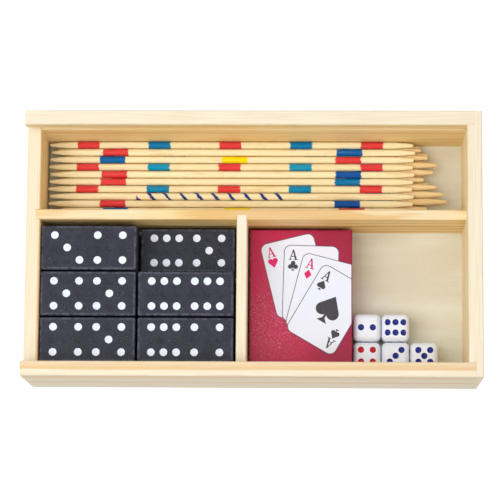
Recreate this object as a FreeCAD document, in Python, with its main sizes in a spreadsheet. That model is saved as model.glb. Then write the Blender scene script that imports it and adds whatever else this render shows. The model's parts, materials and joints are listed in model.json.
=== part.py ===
import FreeCAD, Part
import Sketcher
import math
import os
import re

# Games compendium box: an open pine tray for a sliding lid, with three bays that hold
# pick-up sticks, a double-six domino set, a cased pack of small cards and five dice.
# The frame has +X along the tray to its full-height end, +Y to the back, +Z up.
# The origin is at the middle of the underside.

# Driving dimensions in millimetres. The tray is built round what it holds, so its
# length, width and height follow from its contents and the room left for them.
SIZES = (
    # tray
    ("wall", "6"),
    ("base_thickness", "3"),
    ("rabbet_depth", "3.1"),
    ("lip_height", "6.5"),
    ("groove_height", "4.5"),
    ("groove_depth", "3"),
    ("lid_clearance", "0.4"),
    ("edge_ease", "0.35"),
    ("divider_thickness", "4.3"),
    ("housing_depth", "2"),
    # dominoes
    ("tile_length", "40"),
    ("tile_width", "18.6"),
    ("tile_thickness", "6.4"),
    ("tile_ease", "0.6"),
    ("tile_line_width", "0.7"),
    ("tile_line_depth", "0.15"),
    ("tile_half_offset", "8.8"),
    ("tile_pip_pitch", "5.15"),
    ("tile_pip_radius", "1.65"),
    ("tile_pip_depth", "0.35"),
    ("tile_end_gap", "0.3"),
    ("tile_column_gap", "0.9"),
    ("tile_column_play", "2.3"),
    ("tile_front_gap", "1.1"),
    ("tile_row_gap", "0.75"),
    ("tile_row_play", "5.05"),
    ("tile_headroom", "1.6"),
    ("low_stack_set_back", "0.9"),
    # cards and their case
    ("card_width", "41.2"),
    ("card_length", "56"),
    ("card_thickness", "0.25"),
    ("card_corner", "3"),
    ("card_clearance", "0.5"),
    ("card_headroom", "0.8"),
    ("case_board", "0.5"),
    ("case_slit", "0.2"),
    ("case_tongue", "9"),
    ("case_side_gap", "0.95"),
    ("case_front_gap", "1.5"),
    ("case_play", "2.85"),
    # dice
    ("die_size", "11.8"),
    ("die_round", "2"),
    ("die_pip_pitch", "2.5"),
    ("die_pip_radius", "1.38"),
    ("die_pip_depth", "0.45"),
    ("die_gap", "0.3"),
    ("die_side_gap", "0.4"),
    ("die_front_gap", "0.5"),
    ("die_play", "10.85"),
    # pick-up sticks
    ("stick_length", "156"),
    ("stick_diameter", "2.9"),
    ("stick_long_taper", "11"),
    ("stick_fine_tip", "0.6"),
    ("stick_short_taper", "8"),
    ("stick_blunt_tip", "0.85"),
    ("stick_gap", "0.3"),
    ("stick_side_gap", "0.275"),
    ("stick_floor_gap", "0.3"),
    ("stick_end_gap", "0.5"),
    ("stick_play", "22"),
    # how far every cut runs past the face it starts from
    ("overrun", "1"),
)

TILE_COLUMNS = 2
TILE_ROWS = 3
DICE_COLUMNS = 3
CARD_COUNT = 54
STICKS_PER_ROW = 10
PIP_SIDES = 10
STICK_SIDES = 10
# The flats that make up each rounded edge of a die
ROUND_STEPS = 3

# Pip cells in a three by three grid, as (column, row) steps from its middle
CORNERS = ((-1, -1), (-1, 1), (1, -1), (1, 1))
TILE_PIPS = {
    1: ((0, 0),),
    2: ((-1, 1), (1, -1)),
    3: ((-1, 1), (0, 0), (1, -1)),
    4: CORNERS,
    5: CORNERS + ((0, 0),),
    6: CORNERS + ((0, -1), (0, 1)),
}
DIE_PIPS = dict(TILE_PIPS)
DIE_PIPS[2] = ((-1, 0), (1, 0))
DIE_PIPS[3] = ((1, 1), (0, 0), (-1, -1))
DIE_PIPS[6] = tuple((column, row) for column in (-1.36, 0, 1.36) for row in (-0.88, 0.88))

# The turn that carries each die face from the top to its side of the die, as an axis and degrees.
# Opposite faces add up to seven.
DIE_TURNS = {
    1: ((1, 0, 0), 0),
    6: ((1, 0, 0), 180),
    2: ((1, 0, 0), 90),
    5: ((1, 0, 0), -90),
    3: ((0, 1, 0), 90),
    4: ((0, 1, 0), -90),
}
# Each die's name, the face that is up, and its column and row in the corner by the case
DICE = (
    ("die_back_left", 2, 0, 1),
    ("die_back_middle", 6, 1, 1),
    ("die_front_left", 4, 0, 0),
    ("die_front_middle", 3, 1, 0),
    ("die_front_right", 5, 2, 0),
)

# The domino stacks as (column, row from the front) and their tiles from the bottom up
STACKS = (
    ((0, 2), ((0, 0), (0, 5), (1, 3), (2, 6), (3, 4))),
    ((0, 1), ((0, 1), (0, 6), (1, 4), (3, 3), (5, 5))),
    ((0, 0), ((0, 2), (1, 1), (1, 5), (3, 5), (4, 5))),
    ((1, 2), ((0, 3), (1, 6), (6, 5))),
    ((1, 1), ((0, 4), (1, 2), (2, 3), (3, 6), (6, 6))),
    ((1, 0), ((2, 2), (2, 4), (2, 5), (4, 4), (6, 4))),
)
TALLEST_STACK = max(len(tiles) for place, tiles in STACKS)
LOW_STACK = (1, 2)

# The turn that lays a standing stick along +X
LYING = FreeCAD.Rotation(FreeCAD.Vector(0, 1, 0), 90)
# The sticks from the bottom row up and from the divider back, one letter for each kind
STICK_NODES = {
    "S": "pick_up_stick_spiral",
    "F": "pick_up_sticks_five_band",
    "T": "pick_up_sticks_three_band",
    "W": "pick_up_sticks_wide_two_band",
    "L": "pick_up_sticks_light_two_band",
}
STICK_ROWS = (
    "WLWLLTWLWL",
    "LWFLWLWTLW",
    "WLLWTLWLFW",
    "TWSFLWFTWF",
    "L",
)
# How far along its bay each stick has slid, as shares of the bay's free length
STICK_SLIDE_SHARES = (
    (0.10, 0.22, 0.05, 0.31, 0.16, 0.08, 0.27, 0.12, 0.20, 0.04),
    (0.30, 0.12, 0.40, 0.22, 0.35, 0.18, 0.09, 0.26, 0.33, 0.15),
    (0.20, 0.30, 0.70, 0.64, 0.50, 0.24, 0.43, 0.50, 0.32, 0.18),
    (0.10, 0.01, 0.03, 0.00, 0.02, 0.04, 0.01, 0.03, 0.06, 0.02),
    (0.05,),
)

# Sizes that follow from the driving ones, as expressions of the sheet's names
DECK_HEIGHT = f"(card_thickness * {CARD_COUNT})"
CASE_WIDTH = "(card_width + 2 * (card_clearance + case_board))"
CASE_LENGTH = "(card_length + 2 * (card_clearance + case_board))"
CASE_HEIGHT = f"({DECK_HEIGHT} + 3 * case_board + case_slit + card_headroom)"
DOMINO_BAY = f"({TILE_COLUMNS} * tile_length + tile_column_play)"
FRONT_BAY = f"max({TILE_ROWS} * tile_width + tile_row_play; {CASE_LENGTH} + case_play)"
DICE_BAY = f"(die_side_gap + {DICE_COLUMNS} * (die_size + die_gap) - die_gap + die_play)"
CASE_BAY = f"(case_side_gap + {CASE_WIDTH} + {DICE_BAY})"
STICK_PITCH = "(stick_diameter + stick_gap)"
STICK_RISE = f"(sqrt(3) / 2 * {STICK_PITCH})"
STICK_BAY = f"(({STICKS_PER_ROW} - 0.5) * {STICK_PITCH} + stick_diameter + 2 * stick_side_gap)"
INSIDE_LENGTH = f"max(stick_length + stick_play; {DOMINO_BAY} + divider_thickness + {CASE_BAY})"
INSIDE_WIDTH = f"({FRONT_BAY} + divider_thickness + {STICK_BAY})"
RAIL = f"(base_thickness + {TALLEST_STACK} * tile_thickness + tile_headroom)"
GROOVE_FLOOR = f"({RAIL} + lid_clearance)"
LIP_BOTTOM = f"({GROOVE_FLOOR} + groove_height)"
BOX_HEIGHT = f"({LIP_BOTTOM} + lip_height)"
INNER_X = f"({INSIDE_LENGTH} / 2)"
INNER_Y = f"({INSIDE_WIDTH} / 2)"
OUTER_X = f"({INNER_X} + wall)"
OUTER_Y = f"({INNER_Y} + wall)"
LONG_FRONT = f"(-{INNER_Y} + {FRONT_BAY})"
LONG_BACK = f"({LONG_FRONT} + divider_thickness)"
SHORT_LEFT = f"(-{INNER_X} + {DOMINO_BAY})"
SHORT_RIGHT = f"({SHORT_LEFT} + divider_thickness)"
CASE_LEFT = f"({SHORT_RIGHT} + case_side_gap)"

doc = FreeCAD.newDocument("games_compendium_box")
sheet = doc.addObject("Spreadsheet::Sheet", "Sizes")
for line, (alias, number) in enumerate(SIZES, start=1):
    sheet.set(f"A{line}", alias)
    sheet.set(f"B{line}", number)
    sheet.setAlias(f"B{line}", alias)
doc.recompute()
ALIASES = {alias for alias, number in SIZES}
nodes = []


def bound(text):
    """The expression with every size named from the sheet."""
    def named(word):
        found = word.group(0)
        return f"Sizes.{found}" if found in ALIASES else found
    return re.sub(r"[a-z_]+", named, text)


def place(thing, x="0", y="0", z="0"):
    """Ties a thing's place to the sheet."""
    for axis, text in (("x", x), ("y", y), ("z", z)):
        thing.setExpression(f"Placement.Base.{axis}", bound(text))


def new_body(label):
    body = doc.addObject("PartDesign::Body", label)
    body.Label = label
    return body


def origin_plane(body, role):
    return next(feature for feature in body.Origin.OriginFeatures if feature.Role == role)


def outline(body, role, points, lift="0"):
    """A closed outline of straight sides on an origin plane, lifted along its normal."""
    sketch = body.newObject("Sketcher::SketchObject", f"{body.Label}_outline")
    sketch.AttachmentSupport = [(origin_plane(body, role), "")]
    sketch.MapMode = "FlatFace"
    sketch.setExpression("AttachmentOffset.Base.z", bound(lift))
    turns = [2 * math.pi * corner / len(points) for corner in range(len(points))]
    ring = [FreeCAD.Vector(math.cos(turn), math.sin(turn), 0) for turn in turns]
    for corner, start in enumerate(ring):
        sketch.addGeometry(Part.LineSegment(start, ring[(corner + 1) % len(ring)]), False)
    for corner in range(len(ring)):
        following = (corner + 1) % len(ring)
        sketch.addConstraint(Sketcher.Constraint("Coincident", corner, 2, following, 1))
    for corner, (across, up) in enumerate(points):
        for kind, text in (("DistanceX", across), ("DistanceY", up)):
            number = sketch.addConstraint(Sketcher.Constraint(kind, -1, 1, corner, 1, 1))
            sketch.setExpression(f"Constraints[{number}]", bound(text))
    return sketch


def rectangle(left, right, low, high):
    return [(left, low), (right, low), (right, high), (left, high)]


def pad(body, sketch, length, side="One side"):
    feature = body.newObject("PartDesign::Pad", f"{body.Label}_pad")
    feature.Profile = sketch
    feature.SideType = side
    feature.setExpression("Length", bound(length))
    doc.recompute()
    return feature


def pocket(body, sketch, depth, reverse=False, side="One side"):
    """Cuts an outline into the body and makes sure that it took something away."""
    before = body.Shape.Volume
    feature = body.newObject("PartDesign::Pocket", f"{body.Label}_pocket")
    feature.Profile = sketch
    feature.SideType = side
    feature.Reversed = reverse
    feature.setExpression("Length", bound(depth))
    doc.recompute()
    if body.Shape.Volume >= before:
        raise RuntimeError(f"a cut in {body.Label} took nothing away")
    return feature


def all_edges(feature):
    return [f"Edge{number + 1}" for number in range(len(feature.Shape.Edges))]


def eased_top(left, right, top):
    """The upper corners of a board's section, eased, from its right side to its left."""
    return [
        (right, f"{top} - edge_ease"),
        (f"{right} - edge_ease", top),
        (f"{left} + edge_ease", top),
        (left, f"{top} - edge_ease"),
    ]


def base_panel():
    body = new_body("base_panel")
    reach_x = f"({INNER_X} + rabbet_depth)"
    reach_y = f"({INNER_Y} + rabbet_depth)"
    corners = rectangle(f"-{reach_x}", reach_x, f"-{reach_y}", reach_y)
    pad(body, outline(body, "XY_Plane", corners), "base_thickness")
    return body


def long_wall(label, side):
    """A long wall: its section has the base rabbet, the lid groove and the lip, and its low
    end is rabbeted for the left end wall. The side is a sign, back or front."""
    body = new_body(label)
    inner = INNER_Y
    section = [
        (OUTER_Y, "0"),
        (OUTER_Y, f"{BOX_HEIGHT} - edge_ease"),
        (f"{OUTER_Y} - edge_ease", BOX_HEIGHT),
        (f"{inner} + edge_ease", BOX_HEIGHT),
        (inner, f"{BOX_HEIGHT} - edge_ease"),
        (inner, LIP_BOTTOM),
        (f"{inner} + groove_depth", LIP_BOTTOM),
        (f"{inner} + groove_depth", GROOVE_FLOOR),
        (inner, GROOVE_FLOOR),
        (inner, "base_thickness"),
        (f"{inner} + rabbet_depth", "base_thickness"),
        (f"{inner} + rabbet_depth", "0"),
    ]
    points = [(f"{side}({across})", up) for across, up in section]
    board = outline(body, "YZ_Plane", points, f"-{OUTER_X}")
    pad(body, board, f"{OUTER_X} + {INNER_X} + rabbet_depth")
    end = rectangle(f"-{OUTER_X} - overrun", f"-{INNER_X}", "-overrun", GROOVE_FLOOR)
    cut_into(body, end, side, "rabbet_depth")
    return body


def cut_into(body, corners, side, depth):
    """Cuts an outline seen from the front into a long wall's inner face."""
    lift = f"-({side}{INNER_Y})"
    pocket(body, outline(body, "XZ_Plane", corners, lift), depth, reverse=(side == "-"))


def back_wall():
    return long_wall("back_wall", "+")


def front_wall():
    body = long_wall("front_wall", "-")
    housing = rectangle(SHORT_LEFT, SHORT_RIGHT, "0", RAIL)
    cut_into(body, housing, "-", "housing_depth")
    return body


def left_end_wall():
    """The low end: its ends sit in the long walls' rabbets and a lid passes over its top."""
    body = new_body("left_end_wall")
    section = [
        (f"-{OUTER_X}", "0"),
        (f"-{INNER_X} - rabbet_depth", "0"),
        (f"-{INNER_X} - rabbet_depth", "base_thickness"),
        (f"-{INNER_X}", "base_thickness"),
    ] + eased_top(f"-{OUTER_X}", f"-{INNER_X}", RAIL)
    board = outline(body, "XZ_Plane", section)
    pad(body, board, f"2 * ({INNER_Y} + rabbet_depth)", "Symmetric")
    housing = rectangle(LONG_FRONT, LONG_BACK, "0", f"{RAIL} + overrun")
    pocket(body, outline(body, "YZ_Plane", housing, f"-{INNER_X}"), "housing_depth")
    return body


def right_end_wall():
    """The full-height end: tongues at both its ends lap over the ends of the long walls."""
    body = new_body("right_end_wall")
    section = [
        (f"{INNER_X} + rabbet_depth", "0"),
        (OUTER_X, "0"),
    ] + eased_top(INNER_X, OUTER_X, BOX_HEIGHT) + [
        (INNER_X, "base_thickness"),
        (f"{INNER_X} + rabbet_depth", "base_thickness"),
    ]
    board = outline(body, "XZ_Plane", section)
    pad(body, board, f"2 * {OUTER_Y}", "Symmetric")
    housing = rectangle(LONG_FRONT, LONG_BACK, "0", RAIL)
    housed = outline(body, "YZ_Plane", housing, INNER_X)
    pocket(body, housed, "housing_depth", reverse=True)
    reach = f"{INNER_X} + rabbet_depth"
    corner = rectangle(f"{INNER_X} - overrun", reach, INNER_Y, f"{OUTER_Y} + overrun")
    lap = pocket(body, outline(body, "XY_Plane", corner), f"{BOX_HEIGHT} + overrun", reverse=True)
    both = body.newObject("PartDesign::Mirrored", "right_end_wall_laps")
    both.Originals = [lap]
    both.MirrorPlane = (origin_plane(body, "XZ_Plane"), [""])
    body.Tip = both
    doc.recompute()
    return body


def long_divider():
    body = new_body("long_divider")
    section = [(LONG_FRONT, "base_thickness"), (LONG_BACK, "base_thickness")]
    section += eased_top(LONG_FRONT, LONG_BACK, RAIL)
    board = outline(body, "YZ_Plane", section, f"-({INNER_X} + housing_depth)")
    pad(body, board, f"2 * ({INNER_X} + housing_depth)")
    housing = rectangle(SHORT_LEFT, SHORT_RIGHT, "0", f"{RAIL} + overrun")
    pocket(body, outline(body, "XZ_Plane", housing, f"-{LONG_FRONT}"), "housing_depth")
    return body


def short_divider():
    body = new_body("short_divider")
    section = [(SHORT_LEFT, "base_thickness"), (SHORT_RIGHT, "base_thickness")]
    section += eased_top(SHORT_LEFT, SHORT_RIGHT, RAIL)
    board = outline(body, "XZ_Plane", section, f"-({LONG_FRONT} + housing_depth)")
    pad(body, board, f"{FRONT_BAY} + 2 * housing_depth")
    return body


def card_case():
    """A tuck case: a sleeve with one closed end, and an end flap that rises from the bottom
    panel and turns in under the top panel."""
    body = new_body("card_case")
    half = f"{CASE_WIDTH} / 2"
    block = rectangle(f"-{half}", half, "0", CASE_LENGTH)
    pad(body, outline(body, "XY_Plane", block), CASE_HEIGHT)
    inside = f"({half} - case_board)"
    cavity = rectangle(f"-{inside}", inside, "case_board", f"{CASE_HEIGHT} - case_board")
    mouth = outline(body, "XZ_Plane", cavity, f"-{CASE_LENGTH}")
    pocket(body, mouth, f"{CASE_LENGTH} - case_board", reverse=True)
    flap_top = f"({CASE_HEIGHT} - case_board - case_slit)"
    flap = [
        (CASE_LENGTH, "case_board"),
        (CASE_LENGTH, flap_top),
        (f"{CASE_LENGTH} - case_tongue", flap_top),
        (f"{CASE_LENGTH} - case_tongue", f"{flap_top} - case_board"),
        (f"{CASE_LENGTH} - case_board", f"{flap_top} - case_board"),
        (f"{CASE_LENGTH} - case_board", "case_board"),
    ]
    turned_in = outline(body, "YZ_Plane", flap)
    pad(body, turned_in, f"2 * ({inside} - case_slit)", "Symmetric")
    place(body, f"{CASE_LEFT} + {half}", f"-{INNER_Y} + case_front_gap", "base_thickness")
    return body


def playing_card_deck():
    """The squared-up pack, lying on the case's bottom panel."""
    body = new_body("playing_card_deck")
    half = "card_width / 2"
    card = outline(body, "XY_Plane", rectangle(f"-{half}", half, "0", "card_length"))
    stack = pad(body, card, DECK_HEIGHT)
    upright = [
        f"Edge{number + 1}"
        for number, edge in enumerate(stack.Shape.Edges)
        if abs(edge.tangentAt(edge.FirstParameter).z) > 0.5
    ]
    corners = body.newObject("PartDesign::Fillet", "card_corners")
    corners.Base = (stack, upright)
    corners.setExpression("Radius", bound("card_corner"))
    place(
        body,
        f"{CASE_LEFT} + {CASE_WIDTH} / 2",
        f"-{INNER_Y} + case_front_gap + case_board + card_clearance",
        "base_thickness + case_board",
    )
    return body


def pyramid(label, sides, radius, rise):
    """A point on a many-sided foot at zero height."""
    foot = doc.addObject("Part::RegularPolygon", f"{label}_foot")
    foot.Polygon = sides
    foot.setExpression("Circumradius", bound(radius))
    tip = doc.addObject("Part::Vertex", f"{label}_tip")
    tip.setExpression("Z", bound(rise))
    point = doc.addObject("Part::Loft", label)
    point.Sections = [foot, tip]
    point.Solid = True
    return point


def copy_of(thing, label):
    link = doc.addObject("App::Link", label)
    link.LinkedObject = thing
    return link


def compound(label, things):
    group = doc.addObject("Part::Compound", label)
    group.Links = things
    return group


def pip_groups(label, dimple, patterns, pitch):
    """One group of dimples for each number, laid out on its grid."""
    groups = {}
    for count, cells in patterns.items():
        pips = []
        for column, row in cells:
            pip = copy_of(dimple, f"{label}_{count}_pip")
            place(pip, f"{column} * {pitch}", f"{row} * {pitch}")
            pips.append(pip)
        groups[count] = compound(f"{label}_{count}", pips)
    return groups


def domino_blank():
    """A tile with eased edges and a line across its face between the halves."""
    body = new_body("domino_blank")
    half_x = "tile_length / 2"
    half_y = "tile_width / 2"
    face = outline(body, "XY_Plane", rectangle(f"-{half_x}", half_x, f"-{half_y}", half_y))
    block = pad(body, face, "tile_thickness")
    eased = body.newObject("PartDesign::Chamfer", "domino_edges")
    eased.Base = (block, all_edges(block))
    eased.setExpression("Size", bound("tile_ease"))
    doc.recompute()
    half = "tile_line_width / 2"
    line = [
        (f"-{half}", "tile_thickness"),
        ("0", "tile_thickness - tile_line_depth"),
        (half, "tile_thickness"),
        (half, "tile_thickness + overrun"),
        (f"-{half}", "tile_thickness + overrun"),
    ]
    pocket(body, outline(body, "XZ_Plane", line), "tile_width + overrun", side="Symmetric")
    return body


def dominoes():
    """The whole set, stacked in its bay, each tile cut with its own two numbers."""
    blank = domino_blank()
    dimple = pyramid("domino_pip", PIP_SIDES, "tile_pip_radius", "-tile_pip_depth")
    numbers = pip_groups("domino_pips", dimple, TILE_PIPS, "tile_pip_pitch")
    tiles = []
    for (column, row), stack in STACKS:
        x = f"-{INNER_X} + tile_end_gap + tile_length / 2 + {column} * (tile_length + tile_column_gap)"
        y = f"-{INNER_Y} + tile_front_gap + tile_width / 2 + {row} * (tile_width + tile_row_gap)"
        if (column, row) == LOW_STACK:
            y += " + low_stack_set_back"
        for level, pair in enumerate(stack):
            label = f"domino_{pair[0]}_{pair[1]}"
            halves = []
            for count, side in zip(pair, ("-", "")):
                if count:
                    half = copy_of(numbers[count], f"{label}_half")
                    place(half, f"{side}tile_half_offset", "0", "tile_thickness")
                    halves.append(half)
            if halves:
                tile = doc.addObject("Part::Cut", label)
                tile.Base = blank
                tile.Tool = compound(f"{label}_pips", halves)
            else:
                tile = compound(label, [blank])
            tile.Label = label
            place(tile, x, y, f"base_thickness + {level} * tile_thickness")
            tiles.append(tile)
    return tiles


def die_bar(role):
    """A square bar, one die thick, whose corners are rounded in flats."""
    body = new_body(f"die_bar_{role}")
    flat = "(die_size / 2 - die_round)"
    points = []
    for quarter, (across, up) in enumerate(((1, 1), (-1, 1), (-1, -1), (1, -1))):
        for step in range(ROUND_STEPS + 1):
            turn = math.radians(90 * (quarter + step / ROUND_STEPS))
            points.append((
                f"{across} * {flat} + {math.cos(turn):.5f} * die_round",
                f"{up} * {flat} + {math.sin(turn):.5f} * die_round",
            ))
    pad(body, outline(body, role, points), "die_size", "Symmetric")
    return body


def die_blank():
    """A cube with every edge and corner rounded, where three rounded bars cross."""
    bars = [die_bar(role) for role in ("XY_Plane", "XZ_Plane", "YZ_Plane")]
    cube = doc.addObject("Part::MultiCommon", "die_blank")
    cube.Shapes = bars
    return cube


def dice():
    """Five dice in the corner by the case, each turned to show its own number."""
    blank = die_blank()
    dimple = pyramid("die_pip", PIP_SIDES, "die_pip_radius", "-die_pip_depth")
    numbers = pip_groups("die_pips", dimple, DIE_PIPS, "die_pip_pitch")
    turns = {
        count: FreeCAD.Rotation(FreeCAD.Vector(*axis), angle)
        for count, (axis, angle) in DIE_TURNS.items()
    }
    faces = []
    for count, turn in turns.items():
        face = copy_of(numbers[count], f"die_face_{count}")
        face.Placement.Rotation = turn
        out = turn.multVec(FreeCAD.Vector(0, 0, 1))
        place(face, *(f"{round(part)} * die_size / 2" for part in out))
        faces.append(face)
    all_pips = compound("die_all_pips", faces)
    thrown = []
    pitch = "(die_size + die_gap)"
    for label, count, column, row in DICE:
        die = doc.addObject("Part::Cut", label)
        die.Label = label
        die.Base = blank
        die.Tool = all_pips
        die.Placement.Rotation = turns[count].inverted()
        place(
            die,
            f"{CASE_LEFT} + {CASE_WIDTH} + die_side_gap + die_size / 2 + {column} * {pitch}",
            f"-{INNER_Y} + die_front_gap + die_size / 2 + {row} * {pitch}",
            "base_thickness + die_size / 2",
        )
        thrown.append(die)
    return thrown


def stick_point(label, taper, tip, side):
    """A stick's end, drawn in over its taper and cut off where it is as thick as its tip."""
    rise = f"({taper} / (1 - 2 * {tip} / stick_diameter))"
    spike = pyramid(f"{label}_spike", STICK_SIDES, "stick_diameter / 2", f"{side}{rise}")
    reach = doc.addObject("Part::Prism", f"{label}_reach")
    reach.Polygon = STICK_SIDES
    reach.setExpression("Circumradius", bound("stick_diameter"))
    reach.setExpression("Height", bound(taper))
    if side == "-":
        place(reach, "0", "0", f"-{taper}")
    point = doc.addObject("Part::MultiCommon", label)
    point.Shapes = [spike, reach]
    return point


def stick_blank():
    """A bamboo stick on end: a many-sided shaft between a fine and a blunt point."""
    shaft = doc.addObject("Part::Prism", "stick_shaft")
    shaft.Polygon = STICK_SIDES
    shaft.setExpression("Circumradius", bound("stick_diameter / 2"))
    shaft.setExpression("Height", bound("stick_length - stick_long_taper - stick_short_taper"))
    place(shaft, "0", "0", "stick_long_taper")
    near = stick_point("stick_fine_point", "stick_long_taper", "stick_fine_tip", "-")
    place(near, "0", "0", "stick_long_taper")
    far = stick_point("stick_blunt_point", "stick_short_taper", "stick_blunt_tip", "")
    place(far, "0", "0", "stick_length - stick_short_taper")
    stick = doc.addObject("Part::MultiFuse", "stick_blank")
    stick.Shapes = [near, shaft, far]
    return stick


def sticks():
    """Rows of sticks, each row nested in the one below, grouped by kind."""
    blank = stick_blank()
    groups = {kind: [] for kind in STICK_NODES}
    slack = f"({INSIDE_LENGTH} - stick_length - 2 * stick_end_gap)"
    for row, (kinds, slides) in enumerate(zip(STICK_ROWS, STICK_SLIDE_SHARES)):
        for seat, (kind, slide_share) in enumerate(zip(kinds, slides)):
            stick = copy_of(blank, f"stick_{row}_{seat}")
            stick.Placement.Rotation = LYING
            steps = seat + (row % 2) / 2
            place(
                stick,
                f"-{INNER_X} + stick_end_gap + {slide_share} * {slack}",
                f"{LONG_BACK} + stick_side_gap + stick_diameter / 2 + {steps} * {STICK_PITCH}",
                f"base_thickness + stick_floor_gap + stick_diameter / 2 + {row} * {STICK_RISE}",
            )
            groups[kind].append(stick)
    return [compound(STICK_NODES[kind], members) for kind, members in groups.items()]


nodes += [base_panel(), back_wall(), front_wall(), left_end_wall(), right_end_wall()]
nodes += [long_divider(), short_divider(), card_case(), playing_card_deck()]
nodes += dominoes()
nodes += dice()
nodes += sticks()
doc.recompute()

for thing in doc.Objects:
    if "Invalid" in thing.State or "Error" in thing.State:
        raise RuntimeError(f"{thing.Label} failed: {thing.State}")
for node in nodes:
    if node.Shape.isNull() or not node.Shape.isValid():
        raise RuntimeError(f"{node.Label} has no valid shape")
    if not node.Shape.Solids:
        raise RuntimeError(f"{node.Label} holds no solid")

os.makedirs("parts", exist_ok=True)
for node in nodes:
    node.Shape.exportStep(os.path.join("parts", f"{node.Label}.step"))

whole = Part.makeCompound([node.Shape for node in nodes]).BoundBox
print(f"{len(nodes)} nodes, {whole.XLength:.2f} x {whole.YLength:.2f} x {whole.ZLength:.2f} mm")
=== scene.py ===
"""Games compendium box: an open pine tray with dominoes, dice, cards and pick-up sticks."""

import json
import math
from collections import namedtuple

import bmesh
import bpy
from bpy.props import FloatProperty, FloatVectorProperty, PointerProperty
from mathutils import Matrix, Vector

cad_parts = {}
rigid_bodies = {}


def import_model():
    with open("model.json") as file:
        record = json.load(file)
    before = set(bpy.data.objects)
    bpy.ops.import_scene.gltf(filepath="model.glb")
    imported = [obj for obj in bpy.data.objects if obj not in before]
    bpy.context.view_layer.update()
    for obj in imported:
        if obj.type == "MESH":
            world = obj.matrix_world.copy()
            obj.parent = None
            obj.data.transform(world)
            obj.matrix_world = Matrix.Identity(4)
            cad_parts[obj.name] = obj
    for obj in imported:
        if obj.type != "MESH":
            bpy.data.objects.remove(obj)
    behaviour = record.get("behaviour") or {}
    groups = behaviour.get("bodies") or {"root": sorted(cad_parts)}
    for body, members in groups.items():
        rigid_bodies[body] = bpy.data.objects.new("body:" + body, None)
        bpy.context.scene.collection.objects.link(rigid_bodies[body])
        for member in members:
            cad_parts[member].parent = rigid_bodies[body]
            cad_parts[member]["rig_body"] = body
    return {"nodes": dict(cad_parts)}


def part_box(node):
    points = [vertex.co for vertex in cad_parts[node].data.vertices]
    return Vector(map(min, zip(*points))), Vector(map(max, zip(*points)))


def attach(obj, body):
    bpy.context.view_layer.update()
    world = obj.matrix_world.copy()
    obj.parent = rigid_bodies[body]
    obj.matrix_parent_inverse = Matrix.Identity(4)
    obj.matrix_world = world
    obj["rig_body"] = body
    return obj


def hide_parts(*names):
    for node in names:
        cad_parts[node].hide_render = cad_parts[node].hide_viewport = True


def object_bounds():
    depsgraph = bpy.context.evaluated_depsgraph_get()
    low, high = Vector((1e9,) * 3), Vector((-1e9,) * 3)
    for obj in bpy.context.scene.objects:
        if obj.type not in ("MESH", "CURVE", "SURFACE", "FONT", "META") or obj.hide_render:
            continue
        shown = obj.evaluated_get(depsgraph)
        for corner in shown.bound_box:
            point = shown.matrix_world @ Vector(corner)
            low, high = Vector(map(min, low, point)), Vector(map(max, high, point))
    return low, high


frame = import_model()
cad_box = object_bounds()

bl_info = {
    "name": "Games compendium box",
    "version": (1, 0, 0),
    "blender": (4, 5, 0),
    "location": "View3D > Sidebar > Games Box",
    "description": "Dresses an open pine games tray and everything it holds",
    "category": "Add Mesh",
}

MM = 0.001
NEAR = 0.01 * MM
FULL_TURN = 2 * math.pi

# Linear colours that the finishes share
WHITE = (1, 1, 1, 1)
BLACK = (0, 0, 0, 1)
GREY_DUST = (0.35, 0.35, 0.38, 1)
BROWN_DUST = (0.45, 0.42, 0.40, 1)
GRIME = (0.02, 0.02, 0.03, 1)
BARE_PIP = (0.04, 0.04, 0.06, 1)
COOL_PLASTIC = (0.80, 0.84, 0.93, 1)
PALE_INK = (0.8, 0.8, 0.82, 1)

# Each board: where its grain runs, the middle of its growth rings across the grain and the
# ring width in millimetres, how far the rings wander, how strongly they show, and how warm
# the wood between them is on the inner faces, painted as shaded, and on the faces painted as lit
Board = namedtuple("Board", "along pith ring_width wander strength warm_inside warm_open")
BOARDS = {
    "back_wall": Board("X", (52.5, -57.0), 6.4, 1.8, 0.35, 0.8, 0.15),
    "front_wall": Board("X", (20.0, -10.0), 8.44, 0.8, 0.7, 0.5, 0.1),
    "left_end_wall": Board("Y", (40.0, -46.0), 5.378, 0.8, 0.7, 0.4, 0.2),
    "right_end_wall": Board("Y", (-60.0, -50.0), 7.85, 1.2, 0.5, 0.1, 0.1),
    "long_divider": Board("X", (13.5, -55.0), 7.0, 9.0, 1.4, 1.2, 0.9),
    "short_divider": Board("Y", (4.5, -64.5), 5.0, 1.8, 0.5, 0.3, 0.1),
}
# How deep under a face painted as lit its pale wood ends and is whole, in millimetres
LIT_PALE_END, LIT_PALE_WHOLE = 0.6, 0.3

# Pip cells in a three by three grid, as (column, row) steps from its middle
CELLS = [(column, row) for row in (-1, 0, 1) for column in (-1, 0, 1)]
CORNERS = ((-1, -1), (-1, 1), (1, -1), (1, 1))
TILE_PIPS = {
    0: (),
    1: ((0, 0),),
    2: ((-1, 1), (1, -1)),
    3: ((-1, 1), (0, 0), (1, -1)),
    4: CORNERS,
    5: CORNERS + ((0, 0),),
    6: CORNERS + ((0, -1), (0, 1)),
}
# Tiles whose pips have lost some of their paint, and how much
RUBBED_TILES = {"domino_5_5": 0.8, "domino_3_3": 0.6, "domino_1_4": 0.4}
# The dice lay out some numbers in their own way
DIE_PIPS = {
    **TILE_PIPS,
    2: ((-1, 0), (1, 0)),
    3: ((1, 1), (0, 0), (-1, -1)),
    6: tuple((column, row) for column in (-1.36, 0, 1.36) for row in (-0.88, 0.88)),
}
RED_FACES = (1, 4)
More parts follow.
